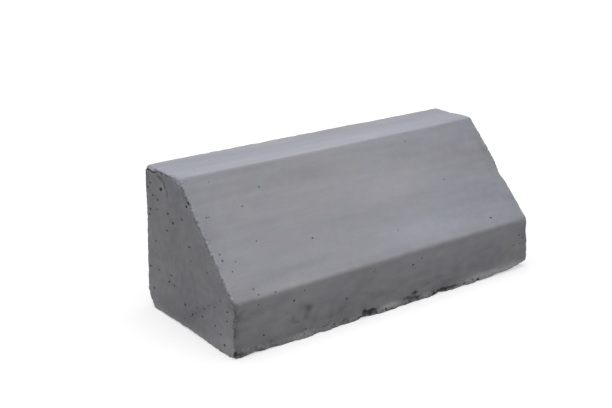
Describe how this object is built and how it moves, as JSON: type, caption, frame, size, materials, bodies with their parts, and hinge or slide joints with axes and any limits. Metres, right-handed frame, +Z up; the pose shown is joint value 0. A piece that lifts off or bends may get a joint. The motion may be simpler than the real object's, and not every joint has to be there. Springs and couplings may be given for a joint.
{
  "type": "concrete wheel stop",
  "caption": "Short precast concrete wheel stop: a low upright lip, a sloped face and a flat crest in one solid block that stops a rolling tyre.",
  "frame": {"origin": "middle of the base, on the ground", "axes": "+X along the block, +Y towards the upright back, -Y towards the lip that meets the tyre, +Z up"},
  "size_m": [0.4, 0.1599, 0.152],
  "materials": {
    "cast_concrete": "grey precast concrete, matt, as struck from the mould, with small air holes"
  },
  "bodies": {
    "root": {"wheel_stop": "cast_concrete"}
  },
  "joints": []
}
